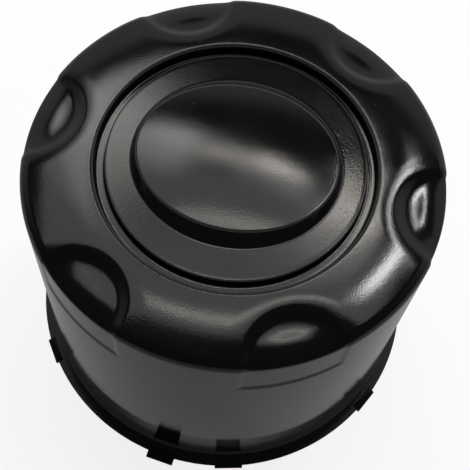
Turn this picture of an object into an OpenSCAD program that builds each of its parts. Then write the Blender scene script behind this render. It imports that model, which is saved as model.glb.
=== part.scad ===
// Deep round centre cap for a wheel: one hollow moulding, open below, with a flared foot,
// scoops pressed into the edge of its crown, a ring groove and a raised blank oval.
// Millimetres. +Z points out of the wheel, z = 0 is the foot's lower rim, and the oval's
// long axis lies along X. Azimuths are in degrees from +X, anticlockwise from above.

/* [Can] */
// Height of the crown's highest circle above the foot's lower rim
crown_h = 83.45; // [60:0.05:110]
// Radius of the straight land that passes through the wheel
land_r = 56.1; // [50:0.1:70]
// Length of that land above the foot's flare
land_h = 12.8; // [6:0.1:20]
// How much narrower the wall is at the shoulder than at the land
wall_draft = 1.3; // [0.2:0.1:4]
// Thickness of the moulding
wall = 2.6; // [1.8:0.1:3]
// Radius of the rounded shoulder between wall and crown
shoulder_r = 3.1; // [3:0.1:6]

/* [Crown] */
// Width of the crown, from the wall to the ring groove
crown_w = 18.8; // [17:0.1:24]
// Distance of the crown's highest circle from the ring groove
crest_w = 3.5; // [2:0.1:6]
// Radius of the arc that the crown follows outwards from its highest circle
crown_arc_r = 85; // [50:1:200]

/* [Groove and disc] */
// Width of the ring groove
groove_w = 2.5; // [1.5:0.1:4]
// Depth of the ring groove below the disc inside it
groove_depth = 2.6; // [1.5:0.1:3.2]
// Radius of the disc's lip and of both floor corners of the groove
lip_r = 0.5; // [0.2:0.05:0.7]
// Radius of the crown's softer lip over the groove
crown_lip_r = 1.2; // [0.5:0.1:1.4]
// Depth of the flat disc below the crown's highest circle
disc_drop = 0.5; // [0:0.1:1]

/* [Oval] */
// Width of flat disc left at each end of the oval
oval_end_gap = 6.5; // [2:0.1:12]
// Width of flat disc left at each long side of the oval
oval_side_gap = 9; // [4:0.1:14]
// How much shorter the oval is at its top edge
oval_len_taper = 2.4; // [1:0.1:6]
// How much narrower the oval is at its top edge
oval_wid_taper = 6.4; // [1:0.1:8]
// Height of the oval's top edge above the disc
oval_h = 2.7; // [1:0.1:6]
// Rise of the domed top above its edge
oval_dome = 1.3; // [0.5:0.1:5]

/* [Scoops] */
// Number of scoops round the crown
scoop_n = 6; // [3:1:6]
// Azimuth of the first scoop
scoop_az = -3.9; // [-30:0.1:30]
// Radius of a scoop's mouth, centred on the rim
scoop_r = 13; // [10:0.1:13.5]
// Depth of a scoop's floor below the crown's highest circle
scoop_depth = 1.8; // [1.3:0.1:3]
// Run of a scoop's sloping side, from mouth to floor
scoop_side = 3; // [1:0.1:4]
// How far inside the wall a scoop's floor begins to fall away
scoop_fall = 7; // [3:0.1:8]
// Radius of the arc that it falls away along
scoop_fall_r = 16; // [12:1:60]
// How far a scoop's shallow panel runs down, from the crown's highest circle to its ledge on the wall
panel_drop = 15.5; // [12:0.1:30]
// Depth of that panel
panel_depth = 0.35; // [0.2:0.05:1]
// Thickness of the boss behind a scoop's floor
scoop_back = 3; // [2.5:0.1:6]

/* [Foot] */
// Width of the foot's flare beyond the land, at its lower rim
flare_w = 3.9; // [3:0.1:6]
// Lean of the flare's straight lower part, in degrees from upright
flare_lean = 45; // [35:1:50]
// Radius of the hollow curve that leads from the flare into the land
flare_r = 6; // [3:0.1:8]
// Height of the upright edge at the lower rim
foot_edge = 0.4; // [0.2:0.1:1.5]

/* [Lugs] */
// Number of groups of four lugs round the foot
lug_groups = 2; // [1:1:2]
// Azimuth of the middle of the nearest group
lug_az = -87.5; // [-180:0.1:180]
// Angle between the two middle lugs of a group
lug_gap = 20.3; // [10:0.1:30]
// Angle from each middle lug to the outer lug beside it
lug_pitch = 48.1; // [20:0.1:60]
// Width of a lug
lug_w = 8.5; // [4:0.1:12]
// How far the first middle lug stands out of the flare
lug_proud = 2; // [0.5:0.1:4]
// How far the other lugs stand out of the flare
lug_shallow = 0.7; // [0.2:0.1:4]

/* [Hidden] */
// How far a cutter runs past the surface that it cuts
over = 1;
rim_r = land_r - wall_draft;
foot_r = land_r + flare_w;
foot_h = foot_edge + flare_r * sin(flare_lean) + (flare_w - flare_r * (1 - cos(flare_lean))) / tan(flare_lean);
groove_r = rim_r - crown_w;
crest_r = groove_r + crest_w;
disc_r = groove_r - groove_w;
oval_foot = [disc_r - oval_end_gap, disc_r - oval_side_gap];
oval_top = oval_foot - [oval_len_taper, oval_wid_taper] / 2;
disc_z = crown_h - disc_drop;
groove_z = disc_z - groove_depth;
land_top = foot_h + land_h;
lip_x = groove_r + crown_lip_r;
ledge_z = crown_h - panel_drop;
core_r = oval_top[1] - wall;

// Points of an arc in the profile's plane, from angle a0 to a1
function arc(x, z, r, a0, a1, n = 8) =
    [for (i = [0:n]) let (a = a0 + (a1 - a0) * i / n) [x + r * cos(a), z + r * sin(a)]];

// The crown's arc and the shoulder's arc touch inside each other, which sets the shoulder's height
function shoulder_x(inset) = rim_r - inset - shoulder_r;
function shoulder_dz(inset) = sqrt(pow(crown_arc_r - shoulder_r, 2) - pow(shoulder_x(inset) - crest_r, 2));
function shoulder_z(drop, inset) = crown_h - drop - crown_arc_r + shoulder_dz(inset);

// Radius of the drafted wall at height z
function wall_r(z) = land_r + (rim_r - land_r) * (z - land_top) / (shoulder_z(0, 0) - land_top);

// Shoulder and crown, lowered by drop and set in by inset, from the wall to the groove's lip
function shoulder_and_crown(drop, inset) =
    let (a = atan2(shoulder_dz(inset), shoulder_x(inset) - crest_r),
        lip_a = acos((lip_x - crest_r) / crown_arc_r),
        shoulder = arc(shoulder_x(inset), shoulder_z(drop, inset), shoulder_r, 0, a),
        crown = arc(crest_r, crown_h - drop - crown_arc_r, crown_arc_r, a, lip_a))
    concat(shoulder, [for (i = [1:len(crown) - 1]) crown[i]]);

// Hollow curve above the foot's flare, set in by inset, from the flare up to the land
function flare_curve(inset, n) = arc(land_r + flare_r, foot_h, flare_r + inset, 180 + flare_lean, 180, n);

// Half outline of the solid can, from its axis at the foot up and back to the axis
function can_outline() =
    let (top = shoulder_and_crown(0, 0), lip_z = top[len(top) - 1][1])
    concat([[0, 0], [foot_r, 0], [foot_r, foot_edge]],
        flare_curve(0, 8),
        [[land_r, land_top]],
        top,
        arc(lip_x, lip_z - crown_lip_r, crown_lip_r, 90, 180, 6),
        arc(groove_r - lip_r, groove_z + lip_r, lip_r, 0, -90, 4),
        arc(disc_r + lip_r, groove_z + lip_r, lip_r, -90, -180, 4),
        arc(disc_r - lip_r, disc_z - lip_r, lip_r, 0, 90, 4),
        [[0, disc_z]]);

// Half outline of the hollow, one wall inside the can
function hollow_outline() =
    let (x = shoulder_x(0), z = shoulder_z(0, 0), inner_r = disc_r - wall,
        curve = flare_curve(wall, 6), low = curve[0])
    concat([[0, -over], [low[0] + (low[1] + over) * tan(flare_lean), -over]],
        curve,
        [[land_r - wall, land_top]],
        arc(x, z, shoulder_r - wall, 0, 90, 4),
        [[groove_r + wall, disc_z - wall], [groove_r + wall, groove_z - wall],
        [inner_r, groove_z - wall], [inner_r, disc_z - wall],
        [core_r, disc_z - wall], [core_r, disc_z + oval_h - wall], [0, disc_z + oval_h - wall]]);

// Half outline of what a scoop's panel leaves standing: the can, set in all over by the panel's depth
function panel_outline() =
    let (foot_z = ledge_z - over)
    concat([[0, foot_z], [wall_r(foot_z) - panel_depth, foot_z]],
        shoulder_and_crown(panel_depth, panel_depth),
        [[0, crown_h - panel_depth]]);

// Half outline of what a scoop's floor leaves standing: level, then falling away along an arc
function floor_outline() =
    let (z = crown_h - scoop_depth, out = over + scoop_fall, low = z - shoulder_r - over)
    concat([[0, low], [rim_r + over, low]],
        arc(rim_r - scoop_fall, z - scoop_fall_r, scoop_fall_r, acos(out / scoop_fall_r), 90),
        [[0, z]]);

module each_scoop() {
    for (i = [0:scoop_n - 1])
        rotate(scoop_az + i * 360 / scoop_n)
            translate([rim_r, 0, 0])
                children();
}

// Deep part of the scoops: a sloping side over a floor that runs out through the shoulder
module scoops() {
    floor_r = scoop_r - scoop_side;
    slope = scoop_side / scoop_depth;
    floor_z = crown_h - scoop_depth;
    difference() {
        each_scoop() {
            translate([0, 0, floor_z - shoulder_r])
                cylinder(h = shoulder_r + over / 2, r = floor_r, $fn = 96);
            translate([0, 0, floor_z])
                cylinder(h = scoop_depth + over, r1 = floor_r, r2 = scoop_r + over * slope, $fn = 96);
        }
        rotate_extrude($fn = 180) polygon(floor_outline());
    }
}

// Shallow panels of the scoops: their full width over the shoulder, down to the ledge on the wall
module panels() {
    difference() {
        each_scoop()
            translate([0, 0, ledge_z])
                cylinder(h = panel_drop + over, r = scoop_r, $fn = 96);
        rotate_extrude($fn = 180) polygon(panel_outline());
    }
}

// The hollow keeps a boss behind each scoop
module hollow() {
    difference() {
        rotate_extrude($fn = 180) polygon(hollow_outline());
        each_scoop()
            translate([0, 0, crown_h - scoop_depth - scoop_back])
                cylinder(h = scoop_depth + scoop_back, r = scoop_r + wall, $fn = 96);
    }
}

// Points of one level of the oval, with half length a and half width b
function oval_ring(a, b, z, n) = [for (i = [0:n - 1]) [a * cos(i * 360 / n), b * sin(i * 360 / n), z]];

// Raised oval: leaning side and domed top, sunk a little into the disc
module oval() {
    n = 60;
    levels = 5;
    edge_z = disc_z + oval_h;
    rings = concat([for (z = [disc_z - wall / 2, disc_z]) oval_ring(oval_foot[0], oval_foot[1], z, n)],
        [for (k = [0:levels - 1]) let (t = cos(k * 90 / levels))
            oval_ring(oval_top[0] * t, oval_top[1] * t, edge_z + oval_dome * (1 - t * t), n)]);
    count = len(rings);
    points = concat([for (r = rings) each r], [[0, 0, disc_z - wall / 2], [0, 0, edge_z + oval_dome]]);
    sides = [for (k = [0:count - 2], i = [0:n - 1]) let (j = (i + 1) % n)
        [k * n + i, (k + 1) * n + i, (k + 1) * n + j, k * n + j]];
    ends = [for (i = [0:n - 1]) let (j = (i + 1) % n) each
        [[count * n, i, j], [count * n + 1, (count - 1) * n + j, (count - 1) * n + i]]];
    polyhedron(points, concat(sides, ends));
}

// A lug leans like the flare that it stands on
module lug(az, out) {
    back_r = land_r - wall / 2;
    front_r = foot_r + out;
    rotate([90, 0, az])
        translate([0, 0, -lug_w / 2])
            linear_extrude(height = lug_w)
                polygon([[back_r, 0], [front_r, 0], [front_r, foot_edge],
                    [back_r, foot_edge + (front_r - back_r) / tan(flare_lean)]]);
}

module lugs() {
    for (i = [0:lug_groups - 1]) {
        az = lug_az + i * 360 / lug_groups;
        lug(az - lug_gap / 2 - lug_pitch, lug_shallow);
        lug(az - lug_gap / 2, lug_proud);
        lug(az + lug_gap / 2, lug_shallow);
        lug(az + lug_gap / 2 + lug_pitch, lug_shallow);
    }
}

// The whole moulding, in gloss black
module cap() {
    color([0.06, 0.06, 0.065])
        difference() {
            union() {
                rotate_extrude($fn = 180) polygon(can_outline());
                oval();
                lugs();
            }
            hollow();
            scoops();
            panels();
        }
}

cap();
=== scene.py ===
import math

import bmesh
import bpy
import numpy as np
from mathutils import Matrix, Vector


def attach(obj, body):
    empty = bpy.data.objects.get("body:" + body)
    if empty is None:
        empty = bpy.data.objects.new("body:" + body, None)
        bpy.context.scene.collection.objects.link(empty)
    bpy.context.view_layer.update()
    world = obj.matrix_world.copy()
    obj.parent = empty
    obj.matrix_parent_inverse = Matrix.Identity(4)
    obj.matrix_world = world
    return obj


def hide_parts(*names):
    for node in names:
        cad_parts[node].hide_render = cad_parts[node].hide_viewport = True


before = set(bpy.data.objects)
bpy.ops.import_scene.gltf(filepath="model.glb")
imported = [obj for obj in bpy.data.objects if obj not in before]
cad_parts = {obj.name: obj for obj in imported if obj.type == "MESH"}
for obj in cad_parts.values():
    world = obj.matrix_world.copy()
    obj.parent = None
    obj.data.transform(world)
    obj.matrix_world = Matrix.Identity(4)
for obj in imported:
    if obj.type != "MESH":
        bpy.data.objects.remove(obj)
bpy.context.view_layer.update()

mm = 0.001  # sizes below are in millimetres

# The moulding: can, crown, groove, disc, oval and foot
cap = {
    "footRadius": 59.98,
    "flareTop": 6.79,  # top and radius of the curve inside the foot
    "flareArc": 6.0,
    "flareLean": 45,  # degrees from upright
    "coneRadius": 56.95,  # where the wall's outward sweep meets the straight flare
    "coneTop": 3.45,
    "sweepTop": 18.0,
    "rimEdge": 0.2,
    "landRadius": 56.1,
    "landTop": 19.6,
    "rimRadius": 54.8,
    "shoulderRadius": 3.1,
    "crestRadius": 39.5,
    "crestHeight": 83.45,
    "crownArc": 85.0,
    "crownLip": 1.2,
    "grooveRadius": 36.0,
    "discRadius": 33.5,
    "discHeight": 82.95,
    "grooveDepth": 2.6,
    "lip": 0.5,
    "ovalFoot": (27.0, 24.5),
    "ovalTop": (25.8, 21.3),
    "ovalHeight": 2.7,
    "ovalDome": 1.28,
    "ovalEdge": 0.5,
    "ovalCorner": 0.3,  # reach of the small hollow corner at the oval's foot
    "wall": 2.6,
    "fineSteps": 96,  # segments of one sixth of the crown, shoulder and upper wall
    "plainSteps": 48,  # segments of one sixth of everything else
}

# The scoops pressed into the edge of the crown
scoop = {
    "count": 6,
    "azimuth": -3.9,
    "radius": 13.0,
    "depth": 1.8,
    "fall": 7.0,
    "fallArc": 16.0,
    "lipReach": 5.0,  # how far outside its mouth the crown starts to sink
    "lipSlope": 0.14,
    "turnIn": 0.9,
    "turnOut": 1.3,
    "side": 2.6,
    "bowl": 4.0,  # how far beyond its side the floor goes on sinking
    "bowlSlope": 0.18,
    "soften": 0.5,  # rounding where the floor runs out through the shoulder
    "panelDepth": 0.35,
    "panelEdge": 2.0,
    "ledge": 67.95,
    "ledgeEdge": 1.7,
    "back": 3.0,
    "crowd": 0.83,  # share of the segments that crowd round each scoop
    "zone": 17.5,  # and the angle to each side that they crowd into
}

# The small lugs round the foot, four to a group
lug = {
    "groups": 2,
    "middle": -87.5,
    "gap": 20.3,
    "pitch": 48.1,
    "width": 8.5,
    "proud": 2.0,
    "shallow": 0.7,
    "sunk": 1.3,
    "frontHeight": 0.45,
    "backHeight": 1.95,
    "edge": 0.18,
}

shoulderX = cap["rimRadius"] - cap["shoulderRadius"]
arcBase = cap["crestHeight"] - cap["crownArc"]
shoulderReach = cap["crownArc"] - cap["shoulderRadius"]
shoulderRise = math.sqrt(shoulderReach ** 2 - (shoulderX - cap["crestRadius"]) ** 2)
shoulderZ = arcBase + shoulderRise
grooveZ = cap["discHeight"] - cap["grooveDepth"]
lipX = cap["grooveRadius"] + cap["crownLip"]
floorZ = cap["crestHeight"] - scoop["depth"]
ovalTopZ = cap["discHeight"] + cap["ovalHeight"]


def arcPoints(x, z, radius, start, end, steps):
    turns = [math.radians(start + (end - start) * i / steps) for i in range(steps + 1)]
    return [(x + radius * math.cos(a), z + radius * math.sin(a)) for a in turns]


def spread(start, end, steps):
    return [start + (end - start) * i / steps for i in range(steps + 1)]


def wallPoint(z):
    share = (z - cap["landTop"]) / (shoulderZ - cap["landTop"])
    return (cap["landRadius"] + (cap["rimRadius"] - cap["landRadius"]) * share, z)


def crownPoint(r):
    return (r, arcBase + math.sqrt(cap["crownArc"] ** 2 - (r - cap["crestRadius"]) ** 2))


def crownOutline():
    # upper wall, shoulder and crown, and down the outer side of the groove
    ledge = scoop["ledge"]
    heights = [ledge - 1.6, ledge - 1.0] + spread(ledge - 0.6, ledge + 0.6, 9)
    heights += [ledge + 1.1] + spread(ledge + 2, shoulderZ - 0.7, 7)
    points = [wallPoint(z) for z in heights]
    meet = math.degrees(math.atan2(shoulderRise, shoulderX - cap["crestRadius"]))
    points += arcPoints(shoulderX, shoulderZ, cap["shoulderRadius"], 0, meet, 18)
    points += [crownPoint(r) for r in spread(points[-1][0], lipX, 52)[1:]]
    points += arcPoints(lipX, points[-1][1] - cap["crownLip"], cap["crownLip"], 90, 180, 8)[1:]
    points += arcPoints(cap["grooveRadius"] - cap["lip"], grooveZ + cap["lip"], cap["lip"], 0, -90, 4)
    points.append((cap["grooveRadius"] - 1, grooveZ))
    return points


def discRings():
    # (half length, half width, height) of each ring from the groove's floor to the middle of the oval
    disc, lip, top = cap["discRadius"], cap["lip"], cap["discHeight"]
    rings = [(x, x, z) for x, z in [(disc + 1, grooveZ)]
             + arcPoints(disc + lip, grooveZ + lip, lip, -90, -180, 4)
             + arcPoints(disc - lip, top - lip, lip, 0, 90, 6)]
    start, foot, edge = disc - lip, Vector(cap["ovalFoot"]), Vector(cap["ovalTop"])
    corner, height, rise = cap["ovalCorner"], cap["ovalHeight"], cap["ovalDome"]
    for share in (0.15, 0.35, 0.6, 0.8, 0.92):
        a = Vector((start, start)).lerp(foot + Vector((corner, corner)), share)
        rings.append((a[0], a[1], top))
    # small hollow corner at the oval's foot, then its leaning side
    rings += [(foot[0] + corner, foot[1] + corner, top), (foot[0] + 0.1, foot[1] + 0.1, top + 0.04)]
    sideTop = 1 - 0.8 * cap["ovalEdge"] / height
    for share in [0.08] + spread(0.2, sideTop, 5):
        a = foot.lerp(edge, share)
        rings.append((a[0], a[1], top + height * share))
    # soft edge, then the dome
    low, sharp = Vector((*foot.lerp(edge, sideTop), height * sideTop)), Vector((*edge, height))
    inset = 1 - cap["ovalEdge"] / edge[0]
    high = Vector((*(edge * inset), height + rise * (1 - inset * inset)))
    for t in spread(0, 1, 7)[1:]:
        a = low.lerp(sharp, t).lerp(sharp.lerp(high, t), t)
        rings.append((a[0], a[1], top + a[2]))
    for i in range(1, 16):
        t = inset * math.cos(math.pi / 2 * i / 16)
        rings.append((edge[0] * t, edge[1] * t, top + height + rise * (1 - t * t)))
    return rings + [(0, 0, top + height + rise)]


def bodyOutline():
    # wall below the ledges, foot, rim, and up inside to the middle of the hollow
    foot, top, arc, rim = cap["footRadius"], cap["flareTop"], cap["flareArc"], cap["rimEdge"]
    wall, land, low, lean = cap["wall"], cap["landRadius"], cap["landTop"], cap["flareLean"]
    points = [wallPoint(z) for z in (scoop["ledge"] - 2.4, 60, 50, 40, 30, low + 0.4)]
    points += [(land, low - 0.4)]
    x, z, sweep = cap["coneRadius"], cap["coneTop"], cap["sweepTop"]
    for height in spread(sweep, z + 0.15, 12) + [z]:
        points.append((land + (x - land) * ((sweep - height) / (sweep - z)) ** 2, height))
    points.append((x + 0.1, z - 0.1 / math.tan(math.radians(lean))))
    # the flare's straight part runs on to the rounded edge of the rim
    edgeX, tilt = foot - rim, math.radians(lean)
    edgeZ = z - (edgeX + rim * math.cos(tilt) - x) / math.tan(tilt) - rim * math.sin(tilt)
    points += arcPoints(edgeX, edgeZ, rim, lean, 0, 3) + arcPoints(edgeX, rim, rim, 0, -90, 3)
    curve = arcPoints(land + arc, top, arc + wall, 180 + lean, 180, 8)
    inX = curve[0][0] + curve[0][1] * math.tan(tilt)
    points += [(inX + rim, 0), (inX - rim * math.sin(tilt), rim * math.cos(tilt))]
    points += curve + [(land - wall, low)]
    # rows of faces under the crown, closer together where the bosses behind the scoops are
    points += [(cap["rimRadius"] - wall, z) for z in (66, 76, 78, 79)]
    points += arcPoints(shoulderX, shoulderZ, cap["shoulderRadius"] - wall, 0, 90, 3)
    under = cap["discHeight"] - wall
    points += [(r, under) for r in (49, 46.5, 44, 42, 40.5, 39.5)]
    outer, inner = cap["grooveRadius"] + wall, cap["discRadius"] - wall
    points += [(outer, under), (outer, grooveZ - wall), (inner, grooveZ - wall), (inner, under)]
    core = cap["ovalTop"][1] - wall
    return points + [(core, under), (core, under + cap["ovalHeight"]), (0, under + cap["ovalHeight"])]


def turnVerts(bm, verts, angle):
    bmesh.ops.rotate(bm, cent=(0, 0, 0), matrix=Matrix.Rotation(angle, 3, "Z"), verts=verts)


def spinStrip(bm, points, steps):
    # spins one sixth of a turn and repeats it, which is much quicker than one long spin
    verts = [bm.verts.new((x * mm, 0, z * mm)) for x, z in points]
    edges = [bm.edges.new(pair) for pair in zip(verts, verts[1:])]
    before = set(bm.verts) - set(verts)
    bmesh.ops.spin(bm, geom=verts + edges, cent=(0, 0, 0), axis=(0, 0, 1), angle=math.tau / 6, steps=steps,
                   use_merge=False)
    made = [v for v in bm.verts if v not in before]
    sector = made + list({e for v in made for e in v.link_edges})
    sector += list({f for v in made for f in v.link_faces})
    for i in range(1, 6):
        copy = bmesh.ops.duplicate(bm, geom=sector)["geom"]
        turnVerts(bm, [v for v in copy if isinstance(v, bmesh.types.BMVert)], math.tau * i / 6)


def onRing(v, radius, z, within):
    return abs(v.co.z - z * mm) < within and abs(v.co.xy.length - radius * mm) < within


def openLoop(bm, point):
    return [e for e in bm.edges if e.is_boundary and all(onRing(v, *point, 2e-5) for v in e.verts)]


def scoopShare(d):
    # share of the full depth at a distance d inside the mouth, with the slope summed up from the lip
    turnIn, turnOut, side, bowl = scoop["turnIn"], scoop["turnOut"], scoop["side"], scoop["bowl"]
    lip, low = scoop["lipSlope"], scoop["bowlSlope"]
    rest = scoop["depth"] - lip * (scoop["lipReach"] + turnIn) / 2 - low * (turnOut + bowl) / 2
    steep = rest / (side - (turnIn + turnOut) / 2)
    at = np.linspace(-scoop["lipReach"], side + bowl, 600)
    turns = (at[0], 0, turnIn, side - turnOut, side, side + bowl)
    slope = np.interp(at, turns, (0, lip, steep, steep, low, 0))
    depth = np.cumsum(slope)
    return np.interp(d, at, (depth - depth[0]) / (depth[-1] - depth[0]))


def smoothStep(x):
    x = np.clip(x, 0, 1)
    return x * x * (3 - 2 * x)


def pressScoops(bm):
    # moves the plain revolved skin into the scoops, their panels and the bosses behind them
    co = np.array([v.co for v in bm.verts]) / mm
    r, z = np.hypot(co[:, 0], co[:, 1]), co[:, 2].copy()
    turn = np.degrees(np.arctan2(co[:, 1], co[:, 0]))
    half = 180 / scoop["count"]
    local = (turn - scoop["azimuth"] + half) % (2 * half) - half
    share = np.abs(local) / half
    crowd, zone = scoop["crowd"], scoop["zone"]
    between = zone + (share - crowd) / (1 - crowd) * (half - zone)
    crowded = np.where(share < crowd, zone * share / crowd, between) * np.sign(local)
    outer = r > cap["discRadius"] + 1.2  # from the middle of the groove outwards
    turn = np.where(outer, turn - local + crowded, turn)
    local = np.where(outer, crowded, local)

    rim, wall = cap["rimRadius"], cap["wall"]
    x, y = r * np.cos(np.radians(local)), r * np.sin(np.radians(local))
    away = np.where(x < rim, np.hypot(x - rim, y), np.abs(y))
    inside = (r < rim - wall + 0.02) & (z < cap["discHeight"] - wall + 0.05)
    skin = (z > scoop["ledge"] - 1.5) & (r > cap["grooveRadius"] + 0.05) & ~inside

    # the profile's own direction: straight out on the wall, up on the crown
    out = np.clip((r - shoulderX) / cap["shoulderRadius"], 0, 1)
    out = np.where(z < shoulderZ, 1, out)
    up = np.sqrt(1 - out * out)
    panel = smoothStep((scoop["radius"] - away) / scoop["panelEdge"] + 0.5)
    panel *= smoothStep((z - scoop["ledge"]) / scoop["ledgeEdge"] + 0.5)
    panel = np.where(skin, panel * scoop["panelDepth"], 0)
    r, z = r - panel * out, z - panel * up

    fallen = np.clip(r - (rim - scoop["fall"]), 0, None)
    above = z - (floorZ - fallen * fallen / (2 * scoop["fallArc"]))
    above = (above + np.sqrt(above * above + scoop["soften"] ** 2)) / 2
    above = np.where(z > shoulderZ - 0.5, above, 0)
    z = z - np.where(skin, above * scoopShare(scoop["radius"] - away), 0)

    behind = np.clip((scoop["radius"] + wall - away) / 0.6, 0, 1)
    bossZ = floorZ - scoop["back"]
    boss = inside & (r > cap["grooveRadius"] + wall + 0.05) & (z > bossZ)
    z = np.where(boss, z + (bossZ - z) * behind, z)

    plain = r < cap["discRadius"] + 0.2
    moved = np.column_stack((r * np.cos(np.radians(turn)), r * np.sin(np.radians(turn)), z))
    moved[plain] = co[plain]
    for v, p in zip(bm.verts, moved * mm):
        v.co = p


def addLugs(bm):
    # cubes whose top falls from the flare to their front
    row = ((-0.5, -1, "shallow"), (-0.5, 0, "proud"), (0.5, 0, "shallow"), (0.5, 1, "shallow"))
    for group in range(lug["groups"]):
        middle = lug["middle"] + group * 360 / lug["groups"]
        for side, beside, out in row:
            made = bmesh.ops.create_cube(bm, size=1)["verts"]
            back, front = cap["footRadius"] - lug["sunk"], cap["footRadius"] + lug[out]
            for v in made:
                x, top = (front, lug["frontHeight"]) if v.co.x > 0 else (back, lug["backHeight"])
                v.co = Vector((x, v.co.y * lug["width"], top if v.co.z > 0 else 0.01)) * mm
            turnVerts(bm, made, math.radians(middle + side * lug["gap"] + beside * lug["pitch"]))
            edges = list({e for v in made for e in v.link_edges})
            bmesh.ops.bevel(bm, geom=edges, offset=lug["edge"] * mm, offset_type="OFFSET", segments=3,
                            profile=0.5, affect="EDGES", material=-1)


def buildCap():
    bm = bmesh.new()
    rings = discRings()
    spinStrip(bm, [(a, z) for a, b, z in rings], cap["plainSteps"])
    for a, b, z in rings:
        if b < a:
            bmesh.ops.scale(bm, vec=(1, b / a, 1), verts=[v for v in bm.verts if onRing(v, a, z, 1e-6)])
    crown, body = crownOutline(), bodyOutline()
    spinStrip(bm, crown, cap["fineSteps"])
    spinStrip(bm, body, cap["plainSteps"])
    bmesh.ops.remove_doubles(bm, verts=bm.verts[:], dist=1e-6)
    for near, far in ((crown[0], body[0]), (crown[-1], (rings[0][0], rings[0][2]))):
        bmesh.ops.bridge_loops(bm, edges=openLoop(bm, near) + openLoop(bm, far))
    print("skin closed:", not any(e.is_boundary for e in bm.edges))
    pressScoops(bm)
    bmesh.ops.recalc_face_normals(bm, faces=bm.faces[:])
    addLugs(bm)
    mesh = bpy.data.meshes.new("capMoulding")
    bm.to_mesh(mesh)
    bm.free()
    mesh.polygons.foreach_set("use_smooth", [True] * len(mesh.polygons))
    obj = bpy.data.objects.new("capMoulding", mesh)
    bpy.context.scene.collection.objects.link(obj)
    print("cap:", sum(len(p.vertices) - 2 for p in mesh.polygons), "triangles")
    return obj


def linear(hexColour):
    channels = [int(hexColour[i:i + 2], 16) / 255 for i in (1, 3, 5)]
    return [c / 12.92 if c <= 0.04045 else ((c + 0.055) / 1.055) ** 2.4 for c in channels] + [1]


def addNode(material, kind, settings=None, links=None):
    # an input is given by its name or its number
    tree = material.node_tree
    node = tree.nodes.new(kind)
    for name, value in (settings or {}).items():
        if isinstance(name, int) or name in node.inputs:
            node.inputs[name].default_value = value
        else:
            setattr(node, name, value)
    for name, socket in (links or {}).items():
        tree.links.new(socket, node.inputs[name])
    return node


def addMath(material, operation, settings, links):
    return addNode(material, "ShaderNodeMath", {"operation": operation, **settings}, links).outputs[0]


def addNoise(material, coord, size, settings):
    scale = {"Scale": 1 / (size * mm)}
    return addNode(material, "ShaderNodeTexNoise", {**scale, **settings}, {"Vector": coord}).outputs["Fac"]


def addBump(material, strength, height, links):
    settings = {"Strength": strength, "Distance": height * mm}
    return addNode(material, "ShaderNodeBump", settings, links).outputs["Normal"]


def newMaterial(name):
    material = bpy.data.materials.new(name)
    material.use_nodes = True
    material.node_tree.nodes.clear()
    return material, addNode(material, "ShaderNodeTexCoord").outputs["Object"]


# The moulding's surface. Ripple, grain, cloud and speck are the sizes of their patterns in millimetres
gloss = {
    "colour": "#101011",
    "ior": 1.4,
    "ripple": 0.9,
    "rippleStrength": 0.06,
    "rippleHeight": 0.05,
    "grain": 0.4,
    "grainStrength": 0.6,
    "grainHeight": 0.02,
    "cloud": 14,
    "roughness": (0.08, 0.13),
    "speck": 8,
    "speckEdge": (0.018, 0.03),
    "dust": "#595753",
    # paler colour of the lips: a painted highlight that draws them as thin light lines
    "rubbedAndPaintedHighlight": "#3e3e40",
    "rubbedRoughness": 0.32,
    "patch": (0.3, 0.7),  # range of the cloud noise over which the roughness changes
    "discLip": (0.22, 0.16),  # how far from its edge each rubbed line with its painted highlight lies, and its reach to each side
    "grooveLip": (0.4, 0.2),
    "ovalLip": (0.12, 0.12),
    "lipHeights": (1, 1.4),  # the first two are rubbed and painted with a highlight only about this height above the disc
}


def rubbedLipsPaintedHighlight(material, coord):
    # 1 on the lips of groove and disc and on the oval's edge, where they are rubbed dull and painted paler as a
    # painted highlight, and 0 elsewhere
    axes = addNode(material, "ShaderNodeSeparateXYZ", {}, {"Vector": coord})
    height = axes.outputs["Z"]
    flat = addNode(material, "ShaderNodeCombineXYZ", {}, {"X": axes.outputs["X"], "Y": axes.outputs["Y"]})
    radius = addNode(material, "ShaderNodeVectorMath", {"operation": "LENGTH"},
                     {"Vector": flat.outputs["Vector"]}).outputs["Value"]
    bands = []
    for value, middle, reach in ((radius, cap["discRadius"] - gloss["discLip"][0], gloss["discLip"][1]),
                                 (radius, cap["grooveRadius"] + gloss["grooveLip"][0], gloss["grooveLip"][1]),
                                 (height, ovalTopZ - gloss["ovalLip"][0], gloss["ovalLip"][1]),
                                 (height, cap["discHeight"] + gloss["lipHeights"][0], gloss["lipHeights"][1])):
        bands.append(addMath(material, "COMPARE", {1: middle * mm, 2: reach * mm}, {0: value}))
    lips = addMath(material, "MAXIMUM", {}, {0: bands[0], 1: bands[1]})
    lips = addMath(material, "MULTIPLY", {}, {0: lips, 1: bands[3]})
    return addMath(material, "MAXIMUM", {}, {0: lips, 1: bands[2]})


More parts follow.
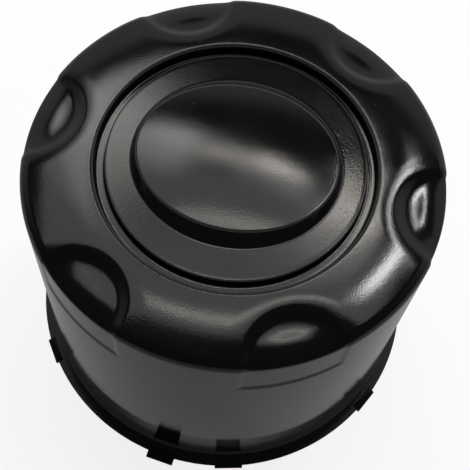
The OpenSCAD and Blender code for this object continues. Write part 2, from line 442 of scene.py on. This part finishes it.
def mouldedGlossAbs():
    material, coord = newMaterial("moulded gloss ABS, black")
    ripple = addNoise(material, coord, gloss["ripple"], {"Detail": 2.0, "Roughness": 0.5})
    bump = addBump(material, gloss["rippleStrength"], gloss["rippleHeight"], {"Height": ripple})
    grain = addNoise(material, coord, gloss["grain"], {"Detail": 1.0})
    bump = addBump(material, gloss["grainStrength"], gloss["grainHeight"], {"Height": grain, "Normal": bump})
    cloud = addNoise(material, coord, gloss["cloud"], {"Detail": 4.0})
    (low, high), (smooth, dim) = gloss["patch"], gloss["roughness"]
    rough = addNode(material, "ShaderNodeMapRange",
                    {"From Min": low, "From Max": high, "To Min": smooth, "To Max": dim}, {"Value": cloud})
    # specks of dust, some 30 mm apart and drawn coarser than real dust
    speck = addNode(material, "ShaderNodeTexVoronoi", {"Scale": 1 / (gloss["speck"] * mm)}, {"Vector": coord})
    low, high = gloss["speckEdge"]
    dust = addNode(material, "ShaderNodeMapRange",
                   {"From Min": low, "From Max": high, "To Min": 1.0, "To Max": 0.0},
                   {"Value": speck.outputs["Distance"]})
    # the lips are rubbed a little dull, and painted paler as a painted highlight that draws them as thin light
    # lines
    rubbedAndPaintedHighlight = rubbedLipsPaintedHighlight(material, coord)
    dull = addNode(material, "ShaderNodeMix", {"data_type": "FLOAT", 3: gloss["rubbedRoughness"]},
                   {0: rubbedAndPaintedHighlight, 2: rough.outputs["Result"]})
    tint = addNode(material, "ShaderNodeMix",
                   {"data_type": "RGBA", 6: linear(gloss["colour"]), 7: linear(gloss["rubbedAndPaintedHighlight"])}, {0: rubbedAndPaintedHighlight})
    tint = addNode(material, "ShaderNodeMix", {"data_type": "RGBA", 7: linear(gloss["dust"])},
                   {0: dust.outputs["Result"], 6: tint.outputs[2]})
    shader = addNode(material, "ShaderNodeBsdfPrincipled", {"IOR": gloss["ior"]},
                     {"Base Color": tint.outputs[2], "Roughness": dull.outputs[0], "Normal": bump})
    addNode(material, "ShaderNodeOutputMaterial", {}, {"Surface": shader.outputs["BSDF"]})
    return material


print("building the cap")
moulding = buildCap()
moulding.data.materials.append(mouldedGlossAbs())
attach(moulding, "root")
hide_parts("cap")

# A dim room with a lit ceiling behind the cap. Each softbox hangs level, a little below the one before it:
# (name, middle x, middle y, width, depth, turn, radiance), lengths as shares of the ceiling's height
studio = {
    "ceiling": 2.0,  # metres above the crown
    "step": 0.02,
    "floorSize": 6,
    "paper": "#858585",
    "fibre": 1.5,  # millimetres
    "fibreStrength": 0.05,
    "fibreHeight": 0.02,
    "paperGlow": 0.84,
    "glowInGloss": 0.3,
    "farWall": 0.6,
    "nearSide": 0.06,
    "above": 0.04,
    "wallTurn": (-0.1, 0.5),  # directions between which the near side turns into the far wall
    "ceilingTurn": (0.66, 0.72),  # and the walls into the dark overhead
    "stripColour": "#fff9ef",
    "softboxes": [
        ("ceilingPanel", -0.075, 0.32, 0.99, 0.36, 0, 1.6),
        ("farPanelLeft", -0.4, 0.62, 0.36, 0.28, -8, 2.3),
        ("farPanel", -0.109, 0.61, 0.66, 0.14, -21.5, 2.2),
        ("leftStrip", -0.3, 0.6, 0.36, 0.2, -15, 2.6),
        ("farStrip", -0.03, 0.57, 0.3, 0.1, -10, 4.4),
        ("farStripRight", 0.095, 0.555, 0.2, 0.055, -22, 13.0),
        ("nearStrip", -0.01, 0.238, 0.42, 0.07, 0, 5.0),
        ("sideLamp", 0.325, 0.42, 0.27, 0.062, 60, 30.0),
        ("cornerPanel", 0.42, 0.44, 0.09, 0.13, 30, 3.4),
        ("sideWindow", 0.33, 0.6, 0.09, 0.14, 0, 12.0),
    ],
}


def mattPaper():
    # the floor's own glow is seen by the camera and, more weakly, in gloss and glass, so it lights nothing
    material, coord = newMaterial("matt white paper")
    fibre = addNoise(material, coord, studio["fibre"], {"Detail": 3.0})
    bump = addBump(material, studio["fibreStrength"], studio["fibreHeight"], {"Height": fibre})
    sheet = addNode(material, "ShaderNodeBsdfPrincipled",
                    {"Base Color": linear(studio["paper"]), "Roughness": 0.95}, {"Normal": bump})
    ray = addNode(material, "ShaderNodeLightPath").outputs
    seen = addMath(material, "MAXIMUM", {}, {0: ray["Is Glossy Ray"], 1: ray["Is Transmission Ray"]})
    seen = addMath(material, "MULTIPLY", {1: studio["glowInGloss"]}, {0: seen})
    seen = addMath(material, "MAXIMUM", {}, {0: ray["Is Camera Ray"], 1: seen})
    strength = addMath(material, "MULTIPLY", {1: studio["paperGlow"]}, {0: seen})
    glow = addNode(material, "ShaderNodeEmission", {}, {"Strength": strength})
    both = addNode(material, "ShaderNodeAddShader", {}, {0: sheet.outputs["BSDF"], 1: glow.outputs["Emission"]})
    addNode(material, "ShaderNodeOutputMaterial", {}, {"Surface": both.outputs["Shader"]})
    return material


def dimRoom():
    # grey wall behind the cap up to the ceiling's edge, darker on the camera's side and overhead
    world = bpy.data.worlds.new("dim room")
    world.use_nodes = True
    coord = addNode(world, "ShaderNodeTexCoord").outputs["Generated"]
    axes = addNode(world, "ShaderNodeSeparateXYZ", {}, {"Vector": coord})
    low, high = studio["wallTurn"]
    side = addNode(world, "ShaderNodeMapRange",
                   {"interpolation_type": "SMOOTHSTEP", "From Min": low, "From Max": high,
                    "To Min": studio["nearSide"], "To Max": studio["farWall"]}, {"Value": axes.outputs["Y"]})
    low, high = studio["ceilingTurn"]
    height = addNode(world, "ShaderNodeMapRange",
                     {"interpolation_type": "SMOOTHSTEP", "From Min": low, "From Max": high},
                     {"Value": axes.outputs["Z"]})
    level = addNode(world, "ShaderNodeMix", {"data_type": "FLOAT", 3: studio["above"]},
                    {0: height.outputs["Result"], 2: side.outputs["Result"]})
    back = world.node_tree.nodes["Background"]
    back.inputs["Color"].default_value = (1, 1, 1, 1)
    world.node_tree.links.new(level.outputs[0], back.inputs["Strength"])
    return world


print("floor, light and camera")
bpy.ops.mesh.primitive_plane_add(size=studio["floorSize"], location=(0, 0, 0))
floor = bpy.context.object
floor.name = "floor"
floor.data.materials.append(mattPaper())

bpy.context.scene.world = dimRoom()
high = studio["ceiling"]
for level, (name, x, y, width, depth, turn, radiance) in enumerate(studio["softboxes"]):
    data = bpy.data.lights.new(name, "AREA")
    data.color = linear(studio["stripColour"] if "Strip" in name else "#ffffff")[:3]
    data.shape = "ELLIPSE" if "Strip" in name else "RECTANGLE"
    data.size, data.size_y = width * high, depth * high
    area = data.size * data.size_y * (math.pi / 4 if data.shape == "ELLIPSE" else 1)
    data.energy = radiance * math.pi * area
    box = bpy.data.objects.new(name, data)
    box.location = (x * high, y * high, high + cap["crestHeight"] * mm - level * studio["step"])
    box.rotation_euler = (0, 0, math.radians(turn))
    bpy.context.scene.collection.objects.link(box)

# The camera stands in front and above, turned a little on its own axis
view = {
    "elevation": 63.39,
    "roll": 6.634,
    "azimuth": 5.06,
    "distance": 204.11,
    "target": (1.714, -20.835, 82.5),
    "lens": 64.305,
    "sensor": 36,
    "clipStart": 0.01,
}
elevation, roll, azimuth = (math.radians(view[name]) for name in ("elevation", "roll", "azimuth"))
back = Vector((0, -math.cos(elevation), math.sin(elevation)))
across = Vector((1, 0, 0))
basis = Matrix((across, back.cross(across), back)).transposed().to_4x4() @ Matrix.Rotation(roll, 4, "Z")
camera = bpy.data.cameras.new("camera")
camera.lens, camera.sensor_width, camera.clip_start = view["lens"], view["sensor"], view["clipStart"]
cameraObject = bpy.data.objects.new("camera", camera)
bpy.context.scene.collection.objects.link(cameraObject)
place = (Vector(view["target"]) + back * view["distance"]) * mm
cameraObject.matrix_world = Matrix.Rotation(azimuth, 4, "Z") @ Matrix.Translation(place) @ basis
bpy.context.scene.camera = cameraObject
bpy.context.scene.view_settings.view_transform = "Standard"
